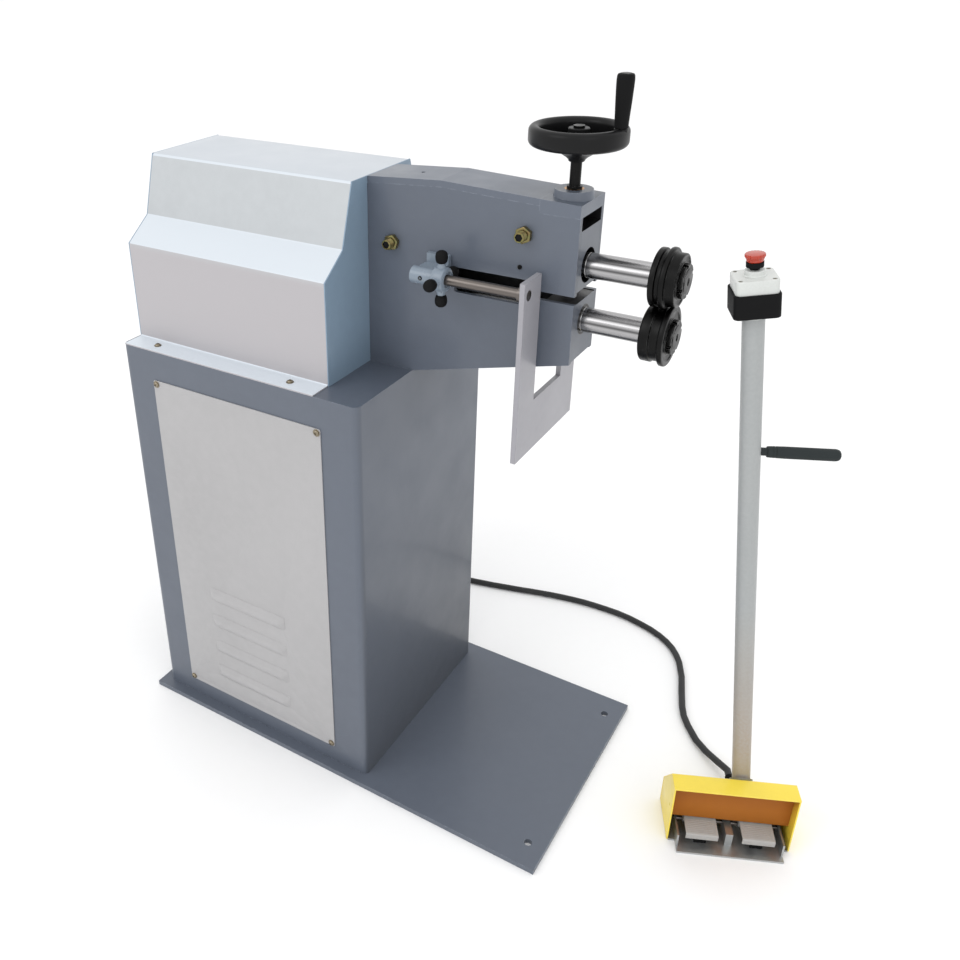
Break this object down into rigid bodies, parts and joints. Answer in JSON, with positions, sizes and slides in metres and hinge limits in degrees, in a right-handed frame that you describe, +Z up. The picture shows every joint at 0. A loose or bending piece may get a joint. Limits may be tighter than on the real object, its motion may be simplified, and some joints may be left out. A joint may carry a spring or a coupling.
{
  "type": "bead roller",
  "caption": "Floor-standing motor-driven bead roller: cabinet pedestal, deep-throat arm, paired rollers, pressure handwheel, depth gauge and pedal foot control on a cable.",
  "frame": {"origin": "centre of the underside of the machine base plate, on the floor", "axes": "+X along the arm towards the rollers, -Y towards the operator and the louvred panel, +Z up"},
  "size_m": [1.2543, 0.7412, 1.271],
  "materials": {
    "blue_paint": "satin dark blue-grey paint",
    "blue_machined": "satin blue-grey paint on machined faces",
    "light_paint": "smooth pale grey paint",
    "panel_paint": "smooth mid grey paint",
    "bright_steel": "polished steel",
    "zinc_steel": "zinc plated steel sheet",
    "dark_steel": "black oxide on turned steel",
    "roll_steel": "black hardened steel",
    "yellow_zinc": "yellow passivated zinc plating",
    "bronze": "plain turned bronze",
    "wheel_iron": "black enamel on cast iron",
    "unit_paint": "painted casting",
    "cowl_steel": "black painted sheet",
    "box_plastic": "moulded grey plastic",
    "guard_paint": "yellow paint on sheet steel",
    "black_plastic": "fine grained black plastic",
    "white_plastic": "smooth white plastic",
    "red_plastic": "glossy red plastic",
    "black_rubber": "black rubber"
  },
  "bodies": {
    "machine": {"base_plate": "blue_paint", "pedestal_shell": "blue_paint", "side_panel": "panel_paint", "sheet_screws": "bright_steel", "gear_cover": "light_paint", "cover_end_front": "blue_paint", "cover_end_rear": "blue_paint", "arm_plate_near": "blue_paint", "arm_plate_far": "blue_paint", "arm_top_plate": "blue_machined", "arm_nose_cap": "blue_machined", "screw_nut": "bronze", "lower_front_block": "blue_machined", "lower_rear_block": "blue_machined", "lower_bushes": "bronze", "trunnion_bolts": "yellow_zinc", "tie_bolt": "yellow_zinc", "oil_nipples": "dark_steel", "gauge_bracket": "blue_machined", "gear_reducer": "unit_paint", "motor": "unit_paint", "motor_cowl": "cowl_steel", "terminal_box": "box_plastic", "relay_box": "box_plastic", "cable_glands": "black_plastic", "foot_base": "zinc_steel", "pedal_hood": "guard_paint", "pedal_pin": "bright_steel", "pedal_switches": "black_plastic", "pole_socket": "zinc_steel", "pole_grommet": "black_rubber", "pole": "zinc_steel", "pole_grip": "black_rubber", "switch_box": "black_plastic", "switch_lid": "white_plastic", "foot_cable": "black_rubber"},
    "lower_shaft": {"lower_shaft": "bright_steel", "lower_gear": "dark_steel", "lower_roller": "roll_steel", "lower_lock_nut": "dark_steel"},
    "upper_carrier": {"upper_rear_block": "dark_steel", "upper_rear_bush": "bronze", "ball_bush": "bronze"},
    "upper_shaft": {"upper_shaft": "bright_steel", "upper_gear": "dark_steel", "upper_roller": "roll_steel", "upper_lock_nut": "dark_steel"},
    "pressure_block": {"pressure_block": "blue_machined"},
    "pressure_screw": {"pressure_screw": "dark_steel", "handwheel": "wheel_iron", "handle_pin": "bright_steel"},
    "wheel_handle": {"wheel_handle": "black_plastic"},
    "gauge": {"gauge_rod": "bright_steel", "fence": "panel_paint"},
    "star_handle": {"star_hub": "panel_paint", "star_knobs": "black_plastic"},
    "left_pedal": {"left_pedal": "zinc_steel"},
    "right_pedal": {"right_pedal": "zinc_steel"},
    "stop_stem": {"stop_stem": "black_plastic"},
    "stop_head": {"stop_head": "red_plastic"}
  },
  "joints": [
    {"name": "lower_spin", "type": "hinge", "parent": "machine", "child": "lower_shaft", "pos_m": [0, 0, 0.92], "axis": [1, 0, 0], "continuous": true},
    {"name": "upper_tilt", "type": "hinge", "parent": "machine", "child": "upper_carrier", "pos_m": [0.047, 0, 1.004], "axis": [0, -1, 0], "range_deg": [0, 1.67]},
    {"name": "upper_spin", "type": "hinge", "parent": "upper_carrier", "child": "upper_shaft", "pos_m": [0.047, 0, 1.004], "axis": [1, 0, 0], "continuous": true},
    {"name": "block_slide", "type": "slide", "parent": "machine", "child": "pressure_block", "axis": [0, 0, 1], "range_m": [0, 0.008]},
    {"name": "screw_turn", "type": "hinge", "parent": "pressure_block", "child": "pressure_screw", "pos_m": [0.322, 0, 1.112], "axis": [0, 0, 1], "range_deg": [0, 1440]},
    {"name": "handle_spin", "type": "hinge", "parent": "pressure_screw", "child": "wheel_handle", "pos_m": [0.381, 0, 1.2], "axis": [0, 0, 1], "continuous": true},
    {"name": "gauge_slide", "type": "slide", "parent": "machine", "child": "gauge", "axis": [1, 0, 0], "range_m": [-0.09, 0.02]},
    {"name": "star_turn", "type": "hinge", "parent": "machine", "child": "star_handle", "pos_m": [0.161, -0.092, 0.977], "axis": [1, 0, 0], "range_deg": [-90, 0]},
    {"name": "left_pedal_press", "type": "hinge", "parent": "machine", "child": "left_pedal", "pos_m": [0.63988, 0.01314, 0.022], "axis": [0.9063, 0.4226, 0], "range_deg": [0, 8], "stiffness_Nm_per_rad": 2, "springref_deg": -3.44},
    {"name": "right_pedal_press", "type": "hinge", "parent": "machine", "child": "right_pedal", "pos_m": [0.72507, 0.05287, 0.022], "axis": [0.9063, 0.4226, 0], "range_deg": [0, 8], "stiffness_Nm_per_rad": 2, "springref_deg": -3.44},
    {"name": "stop_push", "type": "slide", "parent": "machine", "child": "stop_stem", "axis": [-0.1183, -0.0552, 0.9914], "range_m": [-0.004, 0]},
    {"name": "stop_twist", "type": "hinge", "parent": "stop_stem", "child": "stop_head", "pos_m": [0.57724, 0.01262, 1.03643], "axis": [-0.1183, -0.0552, 0.9914], "range_deg": [0, 45], "stiffness_Nm_per_rad": 0.01, "springref_deg": -2.86}
  ],
  "couplings": [
    {"joint": "upper_spin", "follows": "lower_spin", "ratio": -1},
    {"joint": "block_slide", "follows": "screw_turn", "m_per_rad": 0.00031831},
    {"joint": "upper_tilt", "follows": "screw_turn", "ratio": 0.0011577}
  ]
}
